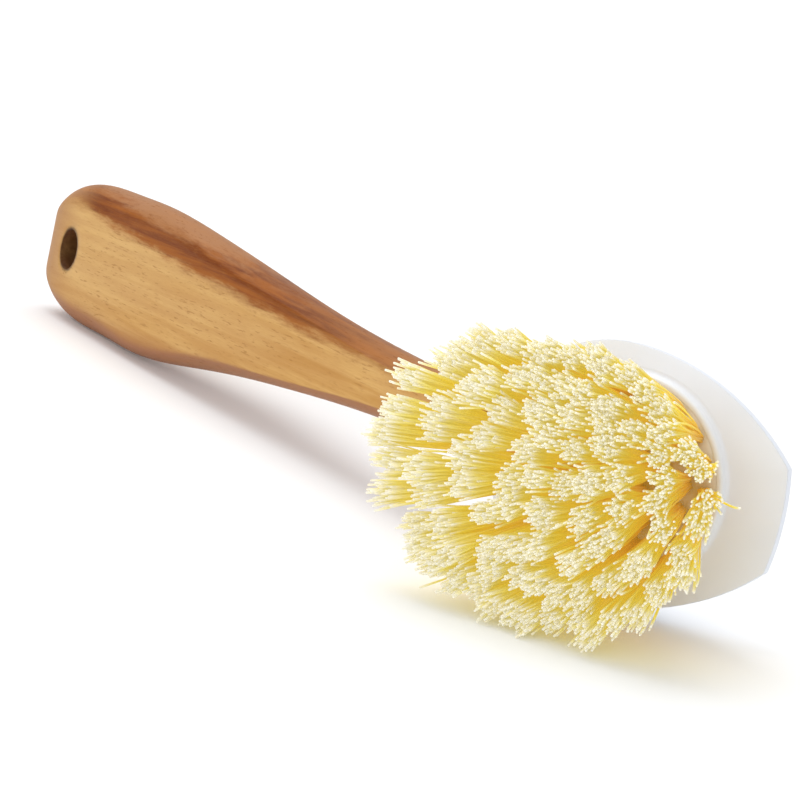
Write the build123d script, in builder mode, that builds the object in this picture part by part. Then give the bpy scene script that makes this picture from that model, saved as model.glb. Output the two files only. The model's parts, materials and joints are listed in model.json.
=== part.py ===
"""Dish brush: a shaped wooden handle with a white pull-off head of tufted bristles.

The pieces are built in the brush's own frame: the scraper edge is at x = 0, the handle runs
towards -x, y goes across, and the bristles point along +z from the rim plane at z = 0. At the
end the whole brush is laid on its side, as it rests on a table, with the table at z = 0.
"""
import os
from math import asin, cos, degrees, radians, sin, tan

from build123d import *

# Head: plan of the rim
head_length = 57.2
head_half_width = 23.7
scraper_half_width = 9.4
scraper_bulge = 0.9
scraper_corner_radius = 1.0
rim_thickness = 1.8

# Head: raised round boss that holds the tufts
boss_radius = 19.2
boss_height = 3.5
face_rise = 1.7
boss_foot_radius = 1.0
boss_edge_radius = 0.7

# Head: rounded back
bowl_depth = 13.6
bowl_depth_shares = (0, 0.30, 0.68, 1)
bowl_width_shares = (1, 0.89, 0.63, 0.36)
bowl_front_shares = (0, 0.13, 0.36, 0.62)
bowl_back_shares = (0, 0.02, 0.035, 0.05)

# Bristles
ring_counts = (1, 5, 9, 14, 19)
ring_pitch = 3.98
backing_thickness = 1.2
backing_gap = 0.1
backing_sides = 38
tuft_hole_radius = 1.6
tuft_hole_depth = 5.0
tuft_clearance = 0.1
tuft_sides = 8
strands_around = 6
foot_circle_radius = 0.98
tip_circle_radius = 2.0
foot_width = 0.68
tip_width = 1.4
bristle_height = 31.0
dome_drop = 2.5
front_splay = 22.5
side_splay = 15.0
back_splay = 29.0
first_tuft_angle = -90

# Staples that hold the folded tufts in their holes
staple_thickness = 0.35
staple_height = 1.6
staple_clearance = 0.05

# Handle: an oval bar with a flat along its front, whose shoulders get rounder towards the bulb
handle_tilt = 28.3
handle_length = 207.4
neck_setback = 4.0
front_height = 5.9
bulb_half_width = 17.6
bulb_half_depth = 10.0
shoulder_radius = 5.0
bulb_start_share = 0.835
station_width_shares = (0.401, 0.378, 0.387, 0.429, 0.498, 0.586, 0.688, 0.812, 0.943, 1, 0.99)
station_depth_shares = (0.646, 0.674, 0.735, 0.825, 0.935, 1.044, 1.111, 1.099, 1.012, 0.952, 0.922)
station_top_shares = (1.218, 1.181, 1.229, 1.363, 1.552, 1.671, 1.69, 1.721, 1.749, 1.639, 1.431)
station_shoulder_shares = (0.10, 0.10, 0.10, 0.10, 0.12, 0.16, 0.25, 0.42, 0.65, 0.85, 1)
end_shares = (0.35, 0.60, 0.80, 0.92, 0.98, 0.9995)
end_bluntness = 2.87
hang_hole_radius = 4.9
hang_hole_inset = 18.6

# Socket in the handle's neck, where a plastic liner takes the head's spigot
spigot_width = 6.4
spigot_height = 5.6
spigot_length = 26.0
spigot_corner_radius = 1.4
spigot_tip_chamfer = 0.6
socket_clearance = 0.08
liner_wall = 1.3
liner_floor = 1.5
liner_lip = 0.8
liner_lip_thickness = 1.0
glue_line = 0.05
neck_gap = 0.3
collar_root = 14.0

# Cuts start this far outside what they cut
cut_overrun = 1.0

# Places worked out from the sizes
tilt = radians(handle_tilt)
along_handle = Vector(-cos(tilt), 0, -sin(tilt))
off_front = Vector(-sin(tilt), 0, cos(tilt))
rim_back = Vector(-head_length, 0, 0)
neck_origin = rim_back - off_front * front_height + along_handle * neck_setback
neck_plane = Plane(neck_origin, x_dir=(0, -1, 0), z_dir=along_handle)
bulb_start = handle_length * bulb_start_share
station_spacing = bulb_start / (len(station_width_shares) - 1)
hang_hole_plane = Plane(
    neck_origin + along_handle * (handle_length - hang_hole_inset), z_dir=off_front
)
boss_x = -head_length / 2
boss_foot = boss_radius + boss_foot_radius
boss_plane = Plane((boss_x, 0, boss_height))
backing_plane = boss_plane.offset(-backing_thickness)
ring_radii = [ring_pitch * index for index in range(len(ring_counts))]
outer_ring_radius = ring_radii[-1]
tuft_radius = tuft_hole_radius - tuft_clearance
socket_depth = spigot_length + neck_gap
liner_outer = socket_clearance + liner_wall


def head_outline(half_width, front, front_half_width, back, bulge):
    """Lines of a pick-shaped plan: blunt in front, round at the back, its flanks single arcs."""
    widest = back + half_width
    TangentArc((widest, half_width), (front, front_half_width), tangent=(1, 0))
    ThreePointArc((front, front_half_width), (front + bulge, 0), (front, -front_half_width))
    TangentArc((widest, -half_width), (front, -front_half_width), tangent=(1, 0))
    ThreePointArc((widest, -half_width), (back, 0), (widest, half_width))


def rim_outline():
    """Lines of the head's rim."""
    head_outline(head_half_width, 0, scraper_half_width, -head_length, scraper_bulge)


def boss_outline():
    """The circle round the boss's foot, parted where the rim's lines are parted."""
    corner = Vector(-boss_x, scraper_half_width).normalized() * boss_foot
    head_outline(boss_foot, boss_x + corner.X, corner.Y, boss_x - boss_foot, boss_foot - corner.X)


def boss_profile():
    """Half of the boss from the side: its hollow foot, its wall and its rounded edge."""
    wall = boss_x + boss_radius
    foot_top = (wall, face_rise + boss_foot_radius)
    edge_start = (wall, boss_height - boss_edge_radius)
    edge_end = (wall - boss_edge_radius, boss_height)
    TangentArc((boss_x + boss_foot, face_rise), foot_top, tangent=(-1, 0))
    Line(foot_top, edge_start)
    TangentArc(edge_start, edge_end, tangent=(0, 1))
    Polyline(edge_end, (boss_x, boss_height), (boss_x, face_rise), (boss_x + boss_foot, face_rise))


def bowl_outline(station):
    """Lines of the head's rounded back at one of its depths."""
    width_share = bowl_width_shares[station]
    head_outline(
        head_half_width * width_share,
        -head_length * bowl_front_shares[station],
        scraper_half_width * width_share,
        -head_length * (1 - bowl_back_shares[station]),
        scraper_bulge * width_share,
    )


def middle_height(station):
    """Height of the handle's middle over the neck's axis at one of its stations."""
    return front_height * station_top_shares[station] - bulb_half_depth * station_depth_shares[station]


def oval_section(distance, station, scale_share=1):
    """Section of the handle at a distance from the neck: a flat front, an oval back, round corners."""
    half_width = bulb_half_width * station_width_shares[station] * scale_share
    half_depth = bulb_half_depth * station_depth_shares[station] * scale_share
    middle = middle_height(station)
    cut_angle = degrees(asin((front_height - middle) * scale_share / half_depth))
    with BuildSketch(neck_plane.offset(distance)) as section:
        with BuildLine():
            round_back = EllipticalCenterArc(
                (0, middle), half_width, half_depth, 180 - cut_angle, arc_size=180 + 2 * cut_angle
            )
            Line(round_back @ 1, round_back @ 0)
        make_face()
        fillet(section.vertices(), shoulder_radius * station_shoulder_shares[station] * scale_share)
    return section.sketch


def socket_section(margin):
    """The spigot's section, larger by a margin all round."""
    RectangleRounded(
        spigot_width + 2 * margin, spigot_height + 2 * margin, spigot_corner_radius + margin
    )


def tuft_tip(ring_radius, turn):
    """Distance of a tuft's tip from the boss axis, and its height above the boss."""
    reach_share = ring_radius / outer_ring_radius
    lengthwise_share = cos(radians(turn))
    end_splay = front_splay if lengthwise_share > 0 else back_splay
    splay = side_splay + (end_splay - side_splay) * lengthwise_share**2
    height = bristle_height - dome_drop * reach_share**2
    return ring_radius + height * tan(radians(splay) * reach_share), height


def strand(foot, tip):
    """One straight strand that widens from its foot to its tip."""
    with BuildPart() as clump:
        with BuildSketch(foot):
            Rectangle(foot_width, foot_width)
        with BuildSketch(tip):
            Rectangle(tip_width, tip_width)
        loft(ruled=True)
    return clump.part


def tuft_strands(ring_radius, count):
    """All strands of one ring of tufts, each tuft one strand with a circle of others round it."""
    strands = []
    for tuft in range(count):
        turn = first_tuft_angle + 360 * tuft / count
        tip_radius, tip_height = tuft_tip(ring_radius, turn)
        foot = boss_plane * Rot(Z=turn) * Pos(X=ring_radius)
        tip = boss_plane.offset(tip_height) * Rot(Z=turn) * Pos(X=tip_radius)
        strands.append(strand(foot, tip))
        for place in range(strands_around):
            around = Rot(Z=360 * place / strands_around)
            strands.append(
                strand(foot * around * Pos(X=foot_circle_radius), tip * around * Pos(X=tip_circle_radius))
            )
    return strands


# Cross-sections of the handle, from the neck to the bulb's rounded end
handle_sections = []
for station in range(len(station_width_shares)):
    handle_sections.append(oval_section(station_spacing * station, station))
for share in end_shares:
    scale_share = (1 - share**end_bluntness) ** (1 / end_bluntness)
    distance = bulb_start + (handle_length - bulb_start) * share
    handle_sections.append(oval_section(distance, -1, scale_share))

# Handle: shaped bar, drilled for hanging and mortised for the liner
with BuildPart() as handle:
    loft(handle_sections)
    with Locations(hang_hole_plane):
        Hole(hang_hole_radius)
    with BuildSketch(neck_plane.offset(-cut_overrun)):
        socket_section(liner_outer + liner_lip + glue_line)
    extrude(amount=cut_overrun + liner_lip_thickness, mode=Mode.SUBTRACT)
    with BuildSketch(neck_plane.offset(-cut_overrun)):
        socket_section(liner_outer + glue_line)
    extrude(amount=cut_overrun + socket_depth + liner_floor + glue_line, mode=Mode.SUBTRACT)

# Liner: the plastic sleeve glued into the neck, with a lip round its mouth
with BuildPart() as liner:
    with BuildSketch(neck_plane):
        socket_section(liner_outer)
    extrude(amount=socket_depth + liner_floor)
    with BuildSketch(neck_plane):
        socket_section(liner_outer + liner_lip)
    extrude(amount=liner_lip_thickness)
    with BuildSketch(neck_plane):
        socket_section(socket_clearance)
    extrude(amount=socket_depth, mode=Mode.SUBTRACT)

# Collar: the head's short neck, of the handle's own section, cut off at the rim plane
with BuildPart() as collar:
    extrude(oval_section(-neck_gap, 0), amount=-collar_root)
    split(bisect_by=Plane.XY, keep=Keep.BOTTOM)

# Head: rounded back, rim, sloping face, boss, collar and spigot in one moulding
with BuildPart() as head:
    for station, depth_share in enumerate(bowl_depth_shares):
        with BuildSketch(Plane.XY.offset(-rim_thickness - (bowl_depth - rim_thickness) * depth_share)):
            with BuildLine():
                bowl_outline(station)
            make_face()
    loft()
    with BuildSketch():
        with BuildLine():
            rim_outline()
        make_face()
    extrude(amount=-rim_thickness)
    with BuildSketch():
        with BuildLine():
            rim_outline()
        make_face()
    with BuildSketch(Plane.XY.offset(face_rise)):
        with BuildLine():
            boss_outline()
        make_face()
    loft(ruled=True)
    with BuildSketch(Plane.XZ):
        with BuildLine():
            boss_profile()
        make_face()
    revolve(axis=Axis((boss_x, 0, 0), (0, 0, 1)))
    with BuildSketch(Plane.XY.offset(-bowl_depth)) as rounded_plan:
        with BuildLine():
            rim_outline()
        make_face()
        fillet(rounded_plan.vertices().group_by(Axis.X)[-1], scraper_corner_radius)
    extrude(amount=bowl_depth + boss_height, mode=Mode.INTERSECT)
    add(collar.part)
    with BuildSketch(neck_plane.offset(-neck_gap)):
        socket_section(0)
    extrude(amount=spigot_length)
    spigot_tip = head.faces().filter_by(GeomType.PLANE).sort_by(Axis.X)[0]
    chamfer(spigot_tip.edges(), spigot_tip_chamfer)
    with BuildSketch(backing_plane):
        Circle(outer_ring_radius + ring_pitch / 2 + backing_gap)
    extrude(amount=backing_thickness, mode=Mode.SUBTRACT)
    with BuildSketch(backing_plane):
        for count, ring_radius in zip(ring_counts, ring_radii):
            with PolarLocations(ring_radius, count, start_angle=first_tuft_angle):
                Circle(tuft_hole_radius)
    extrude(amount=-tuft_hole_depth, mode=Mode.SUBTRACT)

pieces = {"handle": handle, "neck_liner": liner, "head": head}

# Tufts: each ring's strands, their folded ends in the holes, and the boss top that they pass
for index, (count, ring_radius) in enumerate(zip(ring_counts, ring_radii)):
    with BuildPart() as tufts:
        with BuildSketch(backing_plane):
            RegularPolygon(ring_radius + ring_pitch / 2, backing_sides)
            if index > 0:
                RegularPolygon(
                    ring_radius - ring_pitch / 2 + backing_gap, backing_sides, mode=Mode.SUBTRACT
                )
        extrude(amount=backing_thickness)
        with BuildSketch(backing_plane):
            with PolarLocations(ring_radius, count, start_angle=first_tuft_angle):
                RegularPolygon(tuft_radius, tuft_sides)
        extrude(amount=tuft_clearance - tuft_hole_depth)
        with BuildSketch(backing_plane.offset(-tuft_hole_depth)):
            with PolarLocations(ring_radius, count, start_angle=first_tuft_angle):
                Rectangle(2 * tuft_hole_radius, staple_thickness + 2 * staple_clearance)
        extrude(amount=staple_height + staple_clearance, mode=Mode.SUBTRACT)
        add(tuft_strands(ring_radius, count))
    pieces[f"bristle_ring_{index + 1}"] = tufts

# Staples: one flat wire across the bottom of each tuft hole
for index, (count, ring_radius) in enumerate(zip(ring_counts, ring_radii)):
    with BuildPart() as staples:
        with BuildSketch(backing_plane.offset(-tuft_hole_depth)):
            with PolarLocations(ring_radius, count, start_angle=first_tuft_angle):
                Rectangle(2 * (tuft_hole_radius - staple_clearance), staple_thickness)
        extrude(amount=staple_height)
    pieces[f"staple_ring_{index + 1}"] = staples

# The table touches the bulb's side, the rim's side and the outermost tuft's tip
bulb_side = (
    neck_origin
    + along_handle * bulb_start
    + off_front * middle_height(-1)
    - Vector(0, bulb_half_width * station_width_shares[-1], 0)
)
rim_side = Vector(head_half_width - head_length, -head_half_width, -rim_thickness)
tip_radius, tip_height = tuft_tip(outer_ring_radius, first_tuft_angle)
tip_reach = tip_radius + tip_circle_radius + tip_width / 2
bristle_side = Vector(boss_x, -tip_reach, boss_height + tip_height)
upwards = (bristle_side - bulb_side).cross(rim_side - bulb_side).normalized()
table = Plane(bulb_side, x_dir=-along_handle, z_dir=upwards)

# Lay the brush on the table, with its box's bottom centre at the origin
lying = Compound([piece.part.moved(table.location.inverse()) for piece in pieces.values()])
box = lying.bounding_box()
to_origin = Pos(-box.center().X, -box.center().Y, -box.min.Z) * table.location.inverse()
os.makedirs("parts", exist_ok=True)
for name, piece in pieces.items():
    piece.part = piece.part.moved(to_origin)
    piece.part.label = name
    export_step(piece.part, f"parts/{name}.step")
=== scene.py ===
"""Dish brush: flat-fronted wooden handle, white scraper head and splayed bristle tufts, on a table."""
import json
import math
import random

import bpy
from mathutils import Matrix, Vector


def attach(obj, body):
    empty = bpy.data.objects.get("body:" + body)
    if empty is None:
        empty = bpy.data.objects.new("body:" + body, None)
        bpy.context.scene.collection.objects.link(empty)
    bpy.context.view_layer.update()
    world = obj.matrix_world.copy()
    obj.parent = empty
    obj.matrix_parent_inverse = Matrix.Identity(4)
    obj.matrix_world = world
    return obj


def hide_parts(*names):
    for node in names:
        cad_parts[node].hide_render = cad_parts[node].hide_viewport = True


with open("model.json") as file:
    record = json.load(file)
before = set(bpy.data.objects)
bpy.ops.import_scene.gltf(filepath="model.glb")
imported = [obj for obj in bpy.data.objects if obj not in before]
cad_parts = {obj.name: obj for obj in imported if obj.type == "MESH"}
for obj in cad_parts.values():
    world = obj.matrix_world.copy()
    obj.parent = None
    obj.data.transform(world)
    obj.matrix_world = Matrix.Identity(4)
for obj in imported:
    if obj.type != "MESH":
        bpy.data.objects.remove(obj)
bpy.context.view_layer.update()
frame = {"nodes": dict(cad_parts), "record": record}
MM = 0.001

# The brush's own frames, from the record's hanging hole and pull-off joint
HOLE_ALONG = 188.8        # mm from the wood's neck end to the hanging hole
HOLE_DEPTH = -2.0         # mm from the neck's axis to the middle of the bulb's depth
FRONT_HEIGHT = 5.9        # mm from the neck's axis up to the flat front
NECK_SETBACK = 4.0        # mm along the handle from the head's round end to the wood
HEAD_LENGTH = 57.2        # mm from the head's round end to its scraper edge
HANDLE_TILT = math.radians(28.3)

hole_mount = frame["record"]["mounts"][0]
joint = frame["record"]["behaviour"]["joints"][0]
pull = Vector(joint["axis"]).normalized()
front = Vector(hole_mount["axis"]).normalized()
across = front.cross(pull).normalized()
neck = Vector(hole_mount["pos_m"]) + pull * HOLE_ALONG * MM - front * HOLE_DEPTH * MM


def frame_matrix(origin, x_axis, y_axis, z_axis):
    """Takes points of a frame in millimetres to the row frame in metres."""
    turn = Matrix((x_axis, y_axis, z_axis)).transposed()
    return Matrix.Translation(origin) @ turn.to_4x4() @ Matrix.Scale(MM, 4)


handle_frame = frame_matrix(neck, -pull, -across, front)
head_x = pull * math.cos(HANDLE_TILT) - front * math.sin(HANDLE_TILT)
head_z = pull * math.sin(HANDLE_TILT) + front * math.cos(HANDLE_TILT)
scraper = neck + (front * FRONT_HEIGHT + pull * NECK_SETBACK + head_x * HEAD_LENGTH) * MM
head_frame = frame_matrix(scraper, head_x, across, head_z)


# Small node helpers
def linear(red, green, blue):
    """A colour given as 0 to 255 display values, as linear values."""
    shares = [value / 255 for value in (red, green, blue)]
    return tuple(s / 12.92 if s <= 0.04045 else ((s + 0.055) / 1.055) ** 2.4 for s in shares)


class Tree:
    """Builds one material's nodes."""

    def __init__(self, name):
        self.material = bpy.data.materials.new(name)
        self.material.use_nodes = True
        self.nodes = self.material.node_tree.nodes
        self.links = self.material.node_tree.links
        self.nodes.clear()

    def put(self, kind, inputs=None, **settings):
        node = self.nodes.new(kind)
        for key, value in settings.items():
            setattr(node, key, value)
        for key, value in (inputs or {}).items():
            self.set(node.inputs[key], value)
        return node

    def set(self, socket, value):
        if isinstance(value, bpy.types.NodeSocket):
            self.links.new(value, socket)
        elif isinstance(value, tuple) and socket.type == "RGBA" and len(value) == 3:
            socket.default_value = (*value, 1)
        else:
            socket.default_value = value

    def math(self, operation, a, b=0.0, c=0.0):
        return self.put("ShaderNodeMath", {0: a, 1: b, 2: c}, operation=operation).outputs[0]

    def step(self, value, low, high, to_low=0.0, to_high=1.0):
        """Smooth step from low to high."""
        node = self.put(
            "ShaderNodeMapRange",
            {"Value": value, "From Min": low, "From Max": high, "To Min": to_low, "To Max": to_high},
            interpolation_type="SMOOTHSTEP",
        )
        return node.outputs["Result"]

    def local(self, matrix):
        """The surface point in a frame's millimetres."""
        place = self.put("ShaderNodeTexCoord").outputs["Object"]
        node = self.put("ShaderNodeMapping", {"Vector": place}, vector_type="TEXTURE")
        node.inputs["Location"].default_value = matrix.translation
        node.inputs["Rotation"].default_value = matrix.to_euler()
        node.inputs["Scale"].default_value = matrix.to_scale()
        return node.outputs["Vector"]

    def stretched(self, vector, scale):
        node = self.put("ShaderNodeVectorMath", {0: vector, 1: scale}, operation="MULTIPLY")
        return node.outputs["Vector"]

    def dot(self, vector, direction):
        sockets = {0: vector, 1: tuple(direction)}
        return self.put("ShaderNodeVectorMath", sockets, operation="DOT_PRODUCT").outputs["Value"]

    def noise(self, vector, scale, detail=2.0, roughness=0.5, distortion=0.0):
        node = self.put(
            "ShaderNodeTexNoise",
            {"Vector": vector, "Scale": scale, "Detail": detail, "Roughness": roughness,
             "Distortion": distortion},
        )
        return node.outputs["Fac"]

    def mix(self, share, a, b):
        node = self.put("ShaderNodeMix", data_type="RGBA")
        self.set(node.inputs["Factor"], share)
        self.set(node.inputs[6], a)
        self.set(node.inputs[7], b)
        return node.outputs[2]

    def ramp(self, value, stops):
        node = self.put("ShaderNodeValToRGB", {"Fac": value})
        elements = node.color_ramp.elements
        elements[0].position, elements[0].color = stops[0][0], (*stops[0][1], 1)
        elements[1].position, elements[1].color = stops[-1][0], (*stops[-1][1], 1)
        for place, colour in stops[1:-1]:
            elements.new(place).color = (*colour, 1)
        return node.outputs["Color"]

    def finish(self, shader):
        self.put("ShaderNodeOutputMaterial", {"Surface": shader})
        return self.material


# The wood's tones, with painted shade on its underside, end and hole, and painted sheen on its upper
# side
GOLD_LIGHT = linear(213, 169, 103)
GOLD_DEEP = linear(194, 144, 76)
GOLD_RING = linear(180, 126, 66)
GOLD_PALE = linear(218, 180, 122)
HEART_DARK = linear(110, 47, 2)
HEART_LIGHT = linear(154, 84, 18)
UNDERSIDE_SHADE = linear(156, 102, 72)
END_SHADE_BROWN = linear(166, 114, 64)
UPPER_TAN_AND_SHEEN = linear(178, 126, 84)
OVER_BROWN = linear(156, 96, 46)
PORE = linear(132, 76, 32)
FINE_GRAIN = linear(168, 116, 58)
HOLE_SHADE = linear(66, 32, 14)

# Where they lie, in mm: the growth rings' axis and the heartwood streak's edges,
# each as (slope, start) along the handle
RING_AXIS_ACROSS = (-0.085, 6.0)
RING_AXIS_DEPTH = (0.03, -14.0)
RING_WARP = 9.0
RING_RATE = 2.1
STREAK_LOW = (0.0258, 2.9)
STREAK_HIGH = (0.078, 3.4)
STREAK_BEND_FROM = 105.0
STREAK_LOW_BEND = 0.042
STREAK_HIGH_BEND = 0.022
STREAK_RAGGED = 5.6
STREAK_WANDER = 2.0
END_SHADE_FROM, END_SHADE_TO = 182.0, 203.0
HOLE_SHADE_FROM, HOLE_SHADE_TO = 5.1, 6.3
WOOD_BUMP = 0.05


def wood():
    t = Tree("oiled_hardwood")
    point = t.local(handle_frame)
    axes = t.put("ShaderNodeSeparateXYZ", {"Vector": point})
    u, v, w = axes.outputs[0], t.math("MULTIPLY", axes.outputs[1], -1.0), axes.outputs[2]

    # Growth rings round an axis that leans slightly against the handle's
    warp = t.noise(t.stretched(point, (0.012, 0.09, 0.09)), 1.0, 3.0, 0.6)
    lean_v = t.math("SUBTRACT", v, t.math("MULTIPLY_ADD", u, *RING_AXIS_ACROSS))
    lean_w = t.math("SUBTRACT", w, t.math("MULTIPLY_ADD", u, *RING_AXIS_DEPTH))
    ring = t.math("SQRT", t.math("ADD", t.math("POWER", lean_v, 2.0), t.math("POWER", lean_w, 2.0)))
    ring = t.math("ADD", ring, t.math("MULTIPLY", warp, RING_WARP))
    bands = t.math("SINE", t.math("MULTIPLY", ring, RING_RATE))
    bands = t.math("MULTIPLY_ADD", bands, 0.5, 0.5)
    streaks = t.noise(t.stretched(point, (0.018, 0.42, 0.42)), 1.0, 4.0, 0.6, 0.4)
    broad = t.noise(t.stretched(point, (0.010, 0.06, 0.06)), 1.0, 2.0)

    gold = t.mix(t.step(streaks, 0.32, 0.68), GOLD_DEEP, GOLD_LIGHT)
    gold = t.mix(t.math("MULTIPLY", bands, 0.34), gold, GOLD_RING)
    gold = t.mix(t.step(broad, 0.35, 0.7, 0.0, 0.35), gold, GOLD_PALE)

    # Painted shade: pinkish brown on the underside and lower edge, browner towards the end; tan on the
    # upper side, partly the wood's paler tone and partly painted sheen
    normal = t.put("ShaderNodeTexCoord").outputs["Normal"]
    uphill = t.dot(normal, across)
    endward = t.dot(normal, -pull)
    # Painted shade on the surfaces facing down
    gold = t.mix(t.step(uphill, -0.10, -0.75, 0.0, 0.85), gold, UNDERSIDE_SHADE)
    # Painted shade darkening the rounded end: on surfaces facing the end, and along the last part of
    # the handle
    gold = t.mix(t.step(endward, 0.12, 0.7, 0.0, 0.85), gold, END_SHADE_BROWN)
    gold = t.mix(t.step(u, END_SHADE_FROM, END_SHADE_TO, 0.0, 0.75), gold, END_SHADE_BROWN)
    # Painted shade on the bulb's lower side
    lower_side_shade = t.math("MULTIPLY", t.step(v, -9.0, -16.5, 0.0, 0.6), t.step(u, 100.0, 140.0))
    gold = t.mix(lower_side_shade, gold, UNDERSIDE_SHADE)
    # Painted sheen: tan on surfaces facing up, partly the wood's own paler tone
    gold = t.mix(t.step(uphill, 0.25, 0.85, 0.0, 0.8), gold, UPPER_TAN_AND_SHEEN)

    # Dark heartwood streak along the upper shoulder, soft and speckled at its edges
    bend = t.math("MAXIMUM", t.math("SUBTRACT", u, STREAK_BEND_FROM), 0.0)
    low_bend = t.math("MULTIPLY", bend, STREAK_LOW_BEND)
    high_bend = t.math("MULTIPLY", bend, STREAK_HIGH_BEND)
    low_edge = t.math("ADD", t.math("MULTIPLY_ADD", u, *STREAK_LOW), low_bend)
    high_edge = t.math("SUBTRACT", t.math("MULTIPLY_ADD", u, *STREAK_HIGH), high_bend)
    ragged = t.noise(t.stretched(point, (0.10, 0.55, 0.55)), 1.0, 5.0, 0.7)
    wander = t.noise(t.stretched(point, (0.02, 0.05, 0.05)), 1.0, 2.0)
    ragged_shift = t.math("MULTIPLY_ADD", ragged, STREAK_RAGGED, -STREAK_RAGGED / 2)
    wander_shift = t.math("MULTIPLY_ADD", wander, STREAK_WANDER, -STREAK_WANDER / 2)
    place = t.math("ADD", v, t.math("ADD", ragged_shift, wander_shift))
    lower = t.step(t.math("SUBTRACT", place, low_edge), -1.6, 1.6)
    higher = t.step(t.math("SUBTRACT", place, high_edge), -1.4, 1.8)
    to_end = t.step(u, 176.0, 202.0, 1.0, 0.1)
    heart = t.math("MULTIPLY", lower, t.math("MULTIPLY", to_end, t.step(u, 10.0, 90.0, 0.5, 1.0)))
    heart_tone = t.mix(t.step(streaks, 0.35, 0.65), HEART_DARK, HEART_LIGHT)
    # Above the streak: brown by the neck, tan towards the bulb, the tan partly painted sheen
    over_tone = t.mix(t.step(u, 60.0, 130.0), OVER_BROWN, UPPER_TAN_AND_SHEEN)
    heart_tone = t.mix(t.math("MULTIPLY", higher, 0.85), heart_tone, over_tone)
    colour = t.mix(heart, gold, heart_tone)

    # Pores: short dark dashes along the grain
    dashes = t.noise(t.stretched(point, (0.30, 2.6, 2.6)), 1.0, 2.0, 0.6)
    pores = t.step(dashes, 0.58, 0.70)
    patches = t.step(t.noise(t.stretched(point, (0.02, 0.10, 0.10)), 1.0, 2.0), 0.40, 0.60, 0.25, 1.0)
    pores = t.math("MULTIPLY", pores, patches)
    colour = t.mix(t.math("MULTIPLY", pores, 0.42), colour, PORE)
    fine = t.noise(t.stretched(point, (0.35, 9.0, 9.0)), 1.0, 3.0, 0.7)
    colour = t.mix(t.step(fine, 0.35, 0.75, 0.0, 0.22), colour, FINE_GRAIN)

    # Painted shade on the wall of the hanging hole, reaching a little past its rim
    hole_u = t.math("SUBTRACT", u, HOLE_ALONG)
    reach = t.math("SQRT", t.math("ADD", t.math("POWER", hole_u, 2.0), t.math("POWER", v, 2.0)))
    hole_shade_share = t.step(t.math("MULTIPLY_ADD", ragged, 0.8, reach), HOLE_SHADE_FROM, HOLE_SHADE_TO, 0.85, 0.0)
    colour = t.mix(hole_shade_share, colour, HOLE_SHADE)

    height = t.math("ADD", t.math("MULTIPLY", fine, 0.5), t.math("MULTIPLY", pores, -1.0))
    bevel = t.put("ShaderNodeBevel", {"Radius": t.step(u, 120.0, 185.0, 0.5 * MM, 3.5 * MM)}, samples=6)
    bump = t.put(
        "ShaderNodeBump",
        {
            "Strength": 0.35,
            "Distance": WOOD_BUMP * MM,
            "Height": height,
            "Normal": bevel.outputs["Normal"],
        },
    )
    rough = t.math("ADD", t.math("MULTIPLY", streaks, 0.10), t.step(pores, 0.0, 1.0, 0.34, 0.50))
    shader = t.put(
        "ShaderNodeBsdfPrincipled",
        {"Base Color": colour, "Roughness": rough, "Specular IOR Level": 0.07,
         "Normal": bump.outputs["Normal"]},
    )
    return t.finish(shader.outputs[0])


# Painted reflection of the yellow bristles on the head: the cream tint fades outwards from the boss,
# and below its top, in mm
REFLECTION_FROM, REFLECTION_TO = 17.5, 20.5
REFLECTION_HEIGHTS = (1.2, 2.6)


def white_plastic(name, tone, cream):
    """Moulded plastic, with a cream tint round the boss painted as the reflection of the yellow
    bristles.
    """
    t = Tree(name)
    point = t.local(head_frame)
    cloud = t.noise(point, 0.06, 3.0)
    grain = t.noise(point, 2.2, 3.0, 0.6)
    scuffs = t.noise(t.stretched(point, (0.5, 3.0, 0.5)), 1.0, 2.0, 0.7)
    colour = t.mix(t.step(cloud, 0.3, 0.7), tone, tuple(c * 0.965 for c in tone))
    axes = t.put("ShaderNodeSeparateXYZ", {"Vector": point})
    off_boss = t.math("ADD", axes.outputs[0], HEAD_LENGTH / 2)
    reach = t.math(
        "SQRT", t.math("ADD", t.math("POWER", off_boss, 2.0), t.math("POWER", axes.outputs[1], 2.0))
    )
    # Painted reflection of the bristles: cream round the boss, fading outwards and below its top
    inside = t.step(reach, REFLECTION_FROM, REFLECTION_TO, 1.0, 0.0)
    near = t.math("MULTIPLY", inside, t.step(axes.outputs[2], *REFLECTION_HEIGHTS))
    colour = t.mix(t.math("MULTIPLY", near, 0.6), colour, cream)
    bevel = t.put("ShaderNodeBevel", {"Radius": 0.35 * MM}, samples=6)
    bump = t.put(
        "ShaderNodeBump",
        {"Strength": 0.25, "Distance": 0.03 * MM, "Height": grain, "Normal": bevel.outputs["Normal"]},
    )
    shader = t.put(
        "ShaderNodeBsdfPrincipled",
        {"Base Color": colour, "Roughness": t.step(scuffs, 0.3, 0.75, 0.36, 0.48),
         "Specular IOR Level": 0.38, "Normal": bump.outputs["Normal"],
         "Subsurface Weight": 0.10, "Subsurface Scale": 1.5 * MM, "Subsurface Radius": (1.0, 1.0, 1.0)},
    )
    return t.finish(shader.outputs[0])


# A filament's colour from its foot (0) to its tip (1): yellow, with painted shade as a deeper yellow
# towards the foot, deep in the bristle mass, and painted light as a paler cream towards the tip
FILAMENT_LIT_AND_SHADED_TONES = (
    (0.0, linear(246, 212, 90)),
    (0.45, linear(250, 234, 118)),
    (0.77, linear(252, 242, 134)),
    (0.895, linear(253, 246, 172)),
    (0.96, linear(253, 249, 222)),
    (1.0, linear(253, 251, 242)),
)
FILAMENT_PALE = linear(254, 244, 210)
THROUGH_SHARE = 0.45
# Strength of the painted glow, deep in the mass and at the tips, standing in for light scattered
# through the bristles
DEEP_GLOW, TIP_GLOW = 0.10, 0.075


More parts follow.
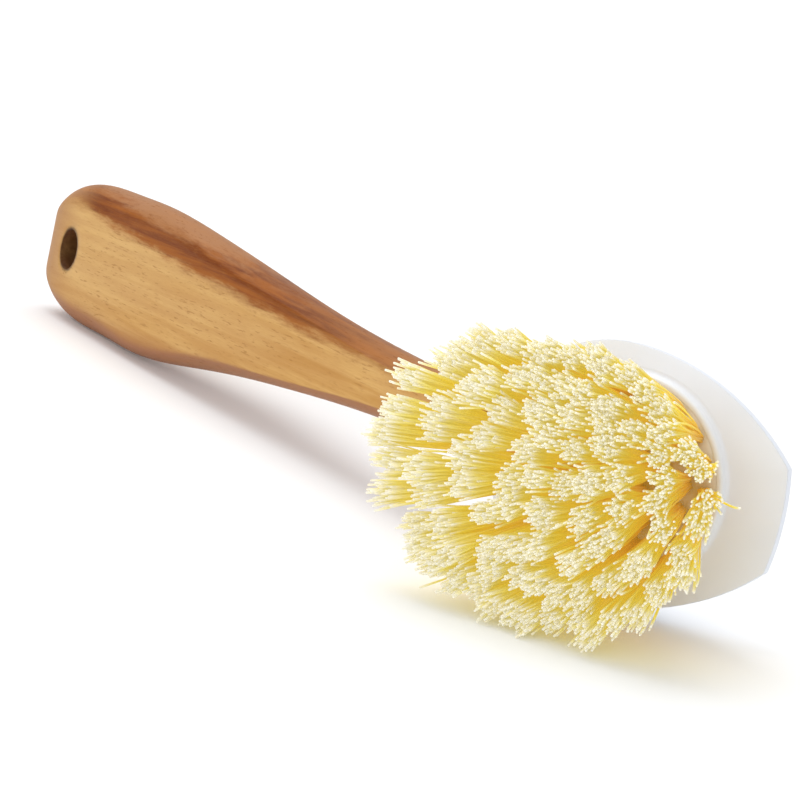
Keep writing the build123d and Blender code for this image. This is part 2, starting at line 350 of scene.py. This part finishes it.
def filament():
    """Nylon filament: yellow, with painted shade as deeper yellow in its depths, a cream end partly
    painted light on the tips, and a painted glow for light scattered through the bristles.
    """
    t = Tree("bristle_filament")
    along = t.put("ShaderNodeAttribute", attribute_name="along").outputs["Fac"]
    tint = t.put("ShaderNodeAttribute", attribute_name="tint").outputs["Fac"]
    point = t.local(head_frame)
    mottle = t.noise(point, 1.6, 2.0)
    place = t.math("ADD", along, t.math("MULTIPLY_ADD", mottle, 0.10, -0.05))
    colour = t.ramp(place, FILAMENT_LIT_AND_SHADED_TONES)
    pale = t.step(tint, 0.45, 1.0, 0.0, 0.22)
    colour = t.mix(pale, colour, FILAMENT_PALE)
    streak = t.noise(t.stretched(point, (1.5, 1.5, 0.2)), 2.0, 2.0)
    bump = t.put("ShaderNodeBump", {"Strength": 0.2, "Distance": 0.02 * MM, "Height": streak})
    surface = t.put(
        "ShaderNodeBsdfPrincipled",
        {"Base Color": colour, "Roughness": t.step(mottle, 0.2, 0.8, 0.34, 0.48),
         "Specular IOR Level": 0.30, "Normal": bump.outputs["Normal"]},
    )
    through = t.put("ShaderNodeBsdfTranslucent", {"Color": colour})
    both = t.put(
        "ShaderNodeMixShader", {0: THROUGH_SHARE, 1: surface.outputs[0], 2: through.outputs[0]}
    )
    # Painted glow, stronger deep in the bristle mass
    strength = t.step(along, 0.60, 0.97, DEEP_GLOW, TIP_GLOW)
    glow = t.put("ShaderNodeEmission", {"Color": colour, "Strength": strength})
    lit = t.put("ShaderNodeAddShader", {0: both.outputs[0], 1: glow.outputs[0]})
    return t.finish(lit.outputs[0])


def steel():
    t = Tree("staple_wire")
    point = t.local(head_frame)
    lines = t.noise(t.stretched(point, (0.5, 6.0, 6.0)), 1.0, 3.0)
    colour = t.mix(lines, linear(150, 150, 148), linear(196, 196, 192))
    shader = t.put(
        "ShaderNodeBsdfPrincipled",
        {"Base Color": colour, "Metallic": 1.0, "Roughness": t.step(lines, 0.2, 0.8, 0.28, 0.45)},
    )
    return t.finish(shader.outputs[0])


HEAD_WHITE = linear(234, 238, 246)
# Cream of the bristles' painted reflection on the head
HEAD_REFLECTED_CREAM = linear(243, 241, 226)
LINER_WHITE = linear(226, 225, 222)
looks = {
    "handle": wood(),
    "head": white_plastic("white_moulding", HEAD_WHITE, HEAD_REFLECTED_CREAM),
    "neck_liner": white_plastic("liner_moulding", LINER_WHITE, LINER_WHITE),
}
wire = steel()
for name, node in frame["nodes"].items():
    look = looks.get(name, wire if name.startswith("staple") else None)
    if look:
        node.data.materials.clear()
        node.data.materials.append(look)


# Bristles: the rings of tufts, in mm and degrees
RING_COUNTS = (1, 5, 9, 14, 19)
RING_PITCH = 3.98
BOSS_HEIGHT = 3.5
BRISTLE_HEIGHT = 31.0
DOME_DROP = 2.5
FRONT_SPLAY = 22.5
SIDE_SPLAY = 15.0
BACK_SPLAY = 29.0
FIRST_TUFT_ANGLE = math.radians(-90)
OUTER_SHIFT = (0.8, -2.4, -1.4, 0.0, 3.2, 0.4, -0.2, 0.2)  # eight directions, 45 degrees apart
HEIGHT_SPREAD = 0.9
LEAN_SPREAD = 1.6
SKEW_SPREAD = 1.7

# Half of a tuft: filaments from a round foot to a flared, ragged tip
FILAMENTS = 76
FILAMENT_RADIUS = 0.185
FOOT_SINK = 0.3
FOOT_REACH = 1.4
TIP_REACH = 1.95
TIP_DEPTH_SCALE = 1.2
HALF_REACH = 2.3
FLARE_SHARE = 0.23
END_SPREAD = (0.40, 0.40, 1.0)
STRAY_SHARE = 0.05
STRAY_SPREAD = 1.2
BOW_SPREAD = 0.35
HOOK_SPREAD = 0.25
HOOK_FROM = 0.8
HOOK_SCALE = 5
GOLDEN_ANGLE = 2.39996

# One filament's tube
SIDES = 5
STATIONS = (0.0, 0.22, 0.45, 0.66, 0.84, 0.955, 1.0)
TIP_SWELL = 1.14
CROWN_SHARE = 0.8
SIDE_REFERENCE = Vector((0.3, 0.9, 0.1))

filament_look = filament()
draw = random.Random(20)


def new_mesh(name, points, faces):
    mesh = bpy.data.meshes.new(name)
    mesh.from_pydata(points, [], faces)
    obj = bpy.data.objects.new(name, mesh)
    bpy.context.scene.collection.objects.link(obj)
    return obj


def splay(turn):
    """How far the outer tufts lean out: more along the brush than across it."""
    lengthwise = math.cos(turn)
    end_splay = FRONT_SPLAY if lengthwise > 0 else BACK_SPLAY
    return math.radians(SIDE_SPLAY + (end_splay - SIDE_SPLAY) * lengthwise**2)


def tip_shift(turn):
    """How much further out (mm) the outer tufts' tips have bent, by their direction."""
    place = math.degrees(turn) / 45 % 8
    low = int(place)
    return OUTER_SHIFT[low] + (OUTER_SHIFT[(low + 1) % 8] - OUTER_SHIFT[low]) * (place - low)


def flat_draw(spread):
    """A random step along the head's face."""
    return Vector((draw.gauss(0, spread), draw.gauss(0, spread), 0))


def add_tube(path, radius, shade, points, faces, along, tint):
    """A closed tube along a path, with each point's place along it and the filament's shade."""
    first = len(points)
    for number, place in enumerate(path):
        ahead = path[min(number + 1, len(path) - 1)] - path[max(number - 1, 0)]
        side_a = ahead.cross(SIDE_REFERENCE).normalized()
        side_b = ahead.cross(side_a).normalized()
        width = radius * (TIP_SWELL if number >= len(path) - 2 else 1.0)
        for corner in range(SIDES):
            spin = 2 * math.pi * corner / SIDES
            points.append(place + (side_a * math.cos(spin) + side_b * math.sin(spin)) * width * MM)
            along.append(STATIONS[number])
            tint.append(shade)
    for number in range(len(path) - 1):
        for corner in range(SIDES):
            a = first + number * SIDES + corner
            b = first + number * SIDES + (corner + 1) % SIDES
            faces.append((a, b, b + SIDES, a + SIDES))
    last = first + (len(path) - 1) * SIDES
    crown = len(points)
    points.append(path[-1] + (path[-1] - path[-2]).normalized() * radius * CROWN_SHARE * MM)
    along.append(1.0)
    tint.append(shade)
    for corner in range(SIDES):
        faces.append((last + corner, last + (corner + 1) % SIDES, crown))
    faces.append(tuple(first + corner for corner in reversed(range(SIDES))))


def half_tuft(turn, ring_radius, count, side, points, faces, along, tint):
    """Half of one folded tuft: thin bent tubes from their feet to their ragged tips."""
    reach_share = ring_radius / RING_PITCH / (len(RING_COUNTS) - 1)
    height = BRISTLE_HEIGHT - DOME_DROP * reach_share**2 + draw.gauss(0, HEIGHT_SPREAD)
    lean = splay(turn) * reach_share + math.radians(draw.gauss(0, LEAN_SPREAD))
    radial = Vector((math.cos(turn), math.sin(turn), 0))
    sideways = Vector((-radial.y, radial.x, 0))
    skew = math.radians(draw.gauss(0, SKEW_SPREAD))
    base = Vector((-HEAD_LENGTH / 2, 0, BOSS_HEIGHT - FOOT_SINK)) + radial * ring_radius
    out = height * math.tan(lean) + tip_shift(turn) * reach_share**2
    half_reach = math.pi * (ring_radius + out) / count / 2 if ring_radius else HALF_REACH
    tip_centre = base + Vector((0, 0, height)) + radial * out
    tip_centre += sideways * (height * math.tan(skew) + side * half_reach)
    for index in range(FILAMENTS):
        share = math.sqrt((index + 0.5) / FILAMENTS)
        angle = index * GOLDEN_ANGLE + draw.uniform(-0.35, 0.35)
        outward = radial * math.cos(angle)
        tip = outward * TIP_REACH * TIP_DEPTH_SCALE + sideways * math.sin(angle) * half_reach
        spread = tip * share
        foot = outward + sideways * (side + math.sin(angle)) * 0.5
        start = base + foot * share * FOOT_REACH
        stray = draw.random() < STRAY_SHARE
        end = tip_centre + spread * draw.uniform(0.80, 1.06)
        end += Vector([draw.gauss(0, size) for size in END_SPREAD])
        if stray:
            end += flat_draw(STRAY_SPREAD) + Vector((0, 0, draw.uniform(-1.0, 1.0)))
        bow = flat_draw(BOW_SPREAD) + radial * draw.uniform(0.0, 0.5)
        hook = flat_draw(HOOK_SPREAD)
        radius = FILAMENT_RADIUS * draw.uniform(0.88, 1.10)
        shade = draw.random()
        path = []
        for station in STATIONS:
            middle = math.sin(math.pi * station)
            place = start.lerp(end, station) + (bow - spread * FLARE_SHARE * middle) * middle
            place = head_frame @ (place + hook * max(0.0, station - HOOK_FROM) * HOOK_SCALE)
            place.z = max(place.z, FILAMENT_RADIUS * MM)
            path.append(place)
        add_tube(path, radius, shade, points, faces, along, tint)


for ring_index, count in enumerate(RING_COUNTS):
    ring_radius = RING_PITCH * ring_index
    points, faces, along, tint = [], [], [], []
    for tuft in range(count):
        turn = FIRST_TUFT_ANGLE + 2 * math.pi * tuft / count
        for side in (-1, 1):
            half_tuft(turn, ring_radius, count, side, points, faces, along, tint)
    tufts = new_mesh(f"tufts_{ring_index + 1}", points, faces)
    for label, values in (("along", along), ("tint", tint)):
        layer = tufts.data.attributes.new(label, "FLOAT", "POINT")
        layer.data.foreach_set("value", values)
    for face in tufts.data.polygons:
        face.use_smooth = True
    tufts.data.materials.append(filament_look)
    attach(tufts, "head")
    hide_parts(f"bristle_ring_{ring_index + 1}")

# Top of the boss between the tufts, with a dimple round each of them
TOP_RADIUS = RING_PITCH * (len(RING_COUNTS) - 0.5) + 0.1
TOP_RINGS = 60
TOP_SPOKES = 180
DIMPLE_REACH = 2.3
DIMPLE_DEPTH = 0.45
DIMPLE_CURVE = 0.6
tuft_places = []
for ring_index, count in enumerate(RING_COUNTS):
    for tuft in range(count):
        turn = FIRST_TUFT_ANGLE + 2 * math.pi * tuft / count
        tuft_places.append(Vector((math.cos(turn), math.sin(turn))) * RING_PITCH * ring_index)
points, faces = [], []
for ring in range(TOP_RINGS + 1):
    for spoke in range(TOP_SPOKES):
        angle = 2 * math.pi * spoke / TOP_SPOKES
        flat = Vector((math.cos(angle), math.sin(angle))) * TOP_RADIUS * ring / TOP_RINGS
        nearest = min((flat - place).length for place in tuft_places)
        sink = DIMPLE_DEPTH * max(0.0, 1 - nearest / DIMPLE_REACH) ** DIMPLE_CURVE
        points.append(head_frame @ Vector((flat.x - HEAD_LENGTH / 2, flat.y, BOSS_HEIGHT - sink)))
for ring in range(TOP_RINGS):
    for spoke in range(TOP_SPOKES):
        a = ring * TOP_SPOKES + spoke
        b = ring * TOP_SPOKES + (spoke + 1) % TOP_SPOKES
        faces.append((a, a + TOP_SPOKES, b + TOP_SPOKES, b))
boss_top = new_mesh("boss_top", points, faces)
for face in boss_top.data.polygons:
    face.use_smooth = True
boss_top.data.materials.append(looks["head"])
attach(boss_top, "head")

# Table, light and camera
TABLE_TONES = ((0.893, 0.904, 0.920), (0.902, 0.912, 0.928))
TABLE_GLOW = 0.06
TABLE_RADIUS = 6.0
WORLD_STRENGTH = 0.70
SUN_STRENGTH = 1.42
SUN_ANGLE = 50
SUN_DIRECTION = Vector((-0.44, 0.0, 1.0))

floor_tree = Tree("white_table")
table_point = floor_tree.put("ShaderNodeTexCoord").outputs["Object"]
table_tone = floor_tree.mix(floor_tree.noise(table_point, 3.0), *TABLE_TONES)
table_surface = floor_tree.put("ShaderNodeBsdfDiffuse", {"Color": table_tone})
table_glow = floor_tree.put("ShaderNodeEmission", {"Color": (1.0, 1.0, 1.0), "Strength": TABLE_GLOW})
table_both = floor_tree.put(
    "ShaderNodeAddShader", {0: table_surface.outputs[0], 1: table_glow.outputs[0]}
)
bpy.ops.mesh.primitive_circle_add(vertices=96, radius=TABLE_RADIUS, fill_type="NGON")
table = bpy.context.object
table.name = "table"
table.data.materials.append(floor_tree.finish(table_both.outputs[0]))

world = bpy.data.worlds.new("studio")
bpy.context.scene.world = world
world.use_nodes = True
background = world.node_tree.nodes["Background"]
background.inputs["Color"].default_value = (1.0, 1.0, 1.0, 1)
background.inputs["Strength"].default_value = WORLD_STRENGTH


def softbox(name, place, target, size, watts):
    light = bpy.data.lights.new(name, "AREA")
    light.shape = "RECTANGLE"
    light.size, light.size_y = size
    light.energy = watts
    obj = bpy.data.objects.new(name, light)
    bpy.context.scene.collection.objects.link(obj)
    obj.location = place
    obj.rotation_euler = (Vector(target) - Vector(place)).to_track_quat("-Z", "Y").to_euler()


key = bpy.data.lights.new("overhead", "SUN")
key.energy = SUN_STRENGTH
key.angle = math.radians(SUN_ANGLE)
key_object = bpy.data.objects.new("overhead", key)
bpy.context.scene.collection.objects.link(key_object)
key_object.rotation_euler = SUN_DIRECTION.to_track_quat("Z", "Y").to_euler()
softbox("front_fill", (-0.5, -1.2, 0.7), (0.0, 0.0, 0.03), (0.8, 0.6), 1.6)
softbox("side_fill", (0.75, -0.8, 0.45), (0.09, 0.0, 0.03), (0.7, 0.5), 2.0)

# The camera, in the head's frame
CAMERA_PLACE = Vector((173.365, 71.952, 454.148))
CAMERA_RIGHT = Vector((0.841, 0.210, -0.498))
CAMERA_BACK = Vector((0.480, 0.134, 0.867))
CAMERA_LENS = 126.0
SENSOR_WIDTH = 36.0
head_turn = head_frame.to_3x3().normalized()
back = (head_turn @ CAMERA_BACK).normalized()
right = head_turn @ CAMERA_RIGHT
right = (right - back * right.dot(back)).normalized()
up = back.cross(right)
camera_data = bpy.data.cameras.new("camera")
camera_data.sensor_width = SENSOR_WIDTH
camera_data.lens = CAMERA_LENS
camera_data.clip_start = 0.01
camera = bpy.data.objects.new("camera", camera_data)
bpy.context.scene.collection.objects.link(camera)
camera.matrix_world = (
    Matrix.Translation(head_frame @ CAMERA_PLACE) @ Matrix((right, up, back)).transposed().to_4x4()
)
bpy.context.scene.camera = camera
bpy.context.scene.view_settings.view_transform = "Standard"
